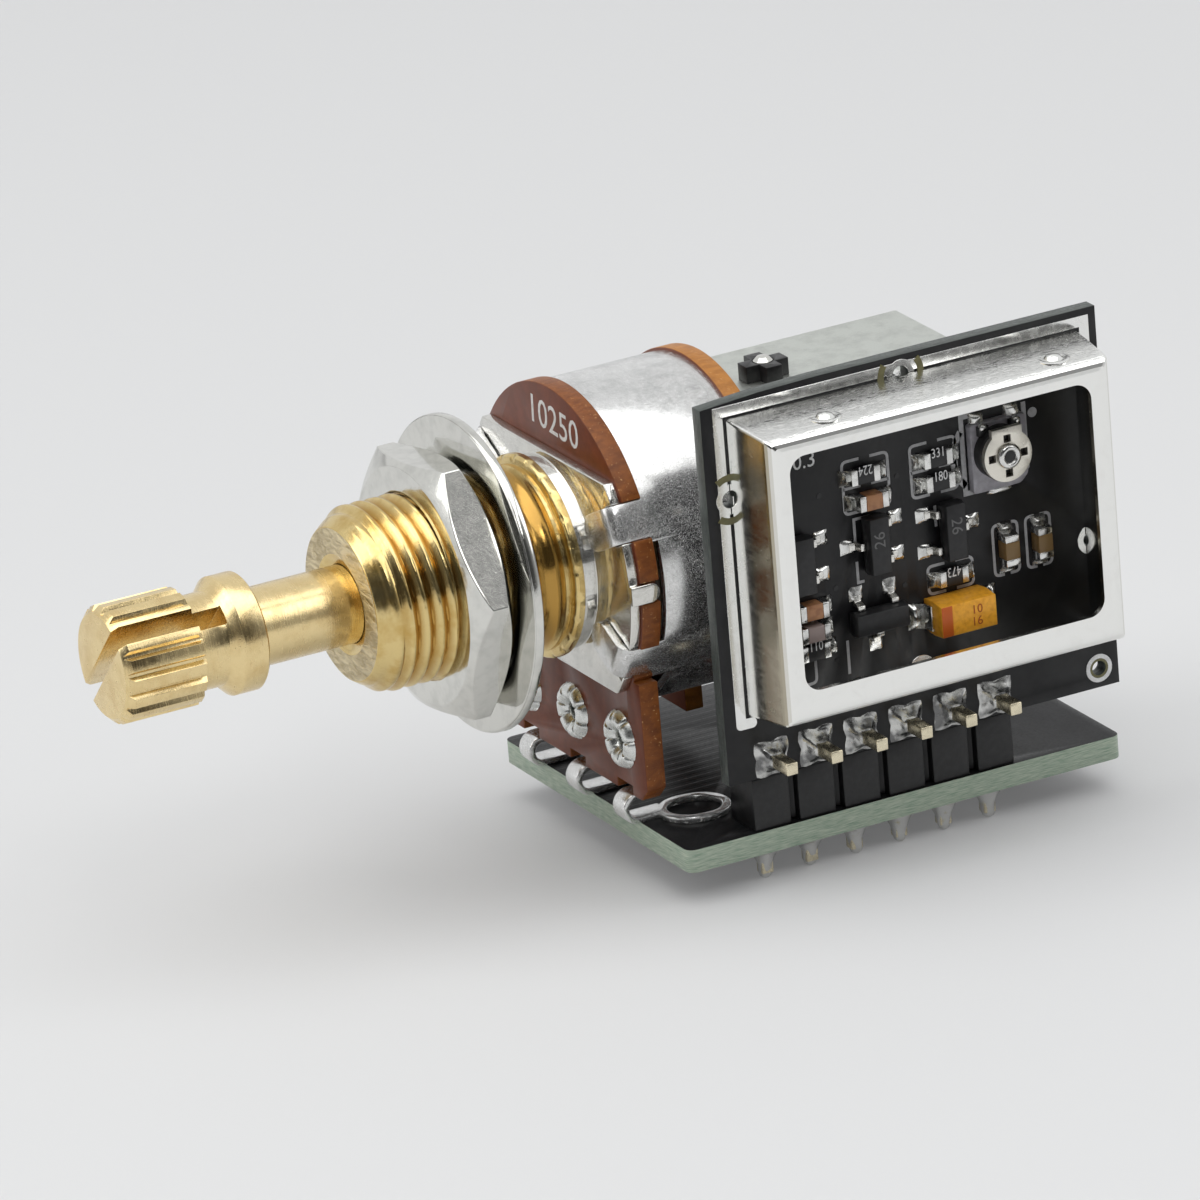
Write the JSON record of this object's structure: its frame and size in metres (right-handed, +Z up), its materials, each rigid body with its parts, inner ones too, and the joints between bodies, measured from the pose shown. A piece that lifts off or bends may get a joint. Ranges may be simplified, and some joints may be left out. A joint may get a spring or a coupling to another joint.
{
  "type": "push-pull rotary potentiometer",
  "caption": "Push-pull rotary potentiometer with a threaded bush, split knurled shaft, rear slide switch and an upright circuit board under a windowed shield.",
  "frame": {"origin": "on the shaft's axis at the front face of the bush's shoulder, where the panel sits", "axes": "+X along the shaft away from its tip, -Y out of the shield's window, +Z up from the lower board"},
  "size_m": [0.0504, 0.0237, 0.0259],
  "materials": {
    "pale_brass": "turned and lightly scratched",
    "gold_brass": "turned, with a torn end face",
    "nickel": "nickel plated",
    "tinplate": "tinned sheet",
    "frame_steel": "tinned sheet, satin",
    "shield_silver": "bright tinned sheet",
    "spring_metal": "rolled",
    "gilt_pin": "gilt, sheared ends",
    "solder": "bright solder",
    "phenolic": "glossy face, sheared edge",
    "carbon": "printed",
    "rotor_plastic": "moulded",
    "black_plastic": "moulded",
    "board": "black lacquer on glass laminate",
    "chip_black": "moulded",
    "chip_brown": "fired",
    "tantalum_orange": "moulded",
    "trimmer_ceramic": "fired"
  },
  "bodies": {
    "housing": {"bush": "gold_brass", "hex_nut": "nickel", "washer": "nickel", "front_plate": "tinplate", "front_wafer": "phenolic", "resistive_track": "carbon", "left_lug": "tinplate", "middle_lug": "tinplate", "right_lug": "tinplate", "lug_rivets": "tinplate", "can": "tinplate", "rear_wafer": "phenolic", "switch_frame": "frame_steel", "latch_boss": "black_plastic", "latch_pin": "nickel", "detent_spring": "spring_metal", "switch_base": "phenolic", "switch_terminals": "tinplate", "lower_board": "board", "header_block": "black_plastic", "header_pins": "gilt_pin", "header_solder": "solder", "tail_solder": "solder", "vertical_board": "board", "shield_frame": "shield_silver", "shield_track": "solder", "chip_resistors": "chip_black", "resistor_solder": "solder", "chip_capacitors": "chip_brown", "capacitor_solder": "solder", "tantalum_capacitor": "tantalum_orange", "tantalum_ends": "solder", "transistors": "chip_black", "transistor_leads": "solder", "trimmer_base": "trimmer_ceramic", "trimmer_terminals": "solder"},
    "turning_rotor": {"rotor": "rotor_plastic", "wiper": "spring_metal"},
    "plunger": {"shaft": "pale_brass"},
    "slider": {"switch_slider": "black_plastic", "slider_contacts": "spring_metal"},
    "trimmer": {"trimmer_rotor": "nickel"}
  },
  "joints": [
    {"name": "shaft_turn", "type": "hinge", "parent": "housing", "child": "turning_rotor", "pos_m": [0, 0, 0], "axis": [1, 0, 0], "range_deg": [-150, 150]},
    {"name": "shaft_slide", "type": "slide", "parent": "turning_rotor", "child": "plunger", "axis": [1, 0, 0], "range_m": [0, 0.005]},
    {"name": "switch_slide", "type": "slide", "parent": "housing", "child": "slider", "axis": [1, 0, 0], "range_m": [0, 0.005]},
    {"name": "trimmer_turn", "type": "hinge", "parent": "housing", "child": "trimmer", "pos_m": [0.02084, -0.012, 0.00378], "axis": [0, -1, 0], "range_deg": [-125, 125]}
  ],
  "couplings": [
    {"joint": "switch_slide", "follows": "shaft_slide", "ratio": 1}
  ]
}
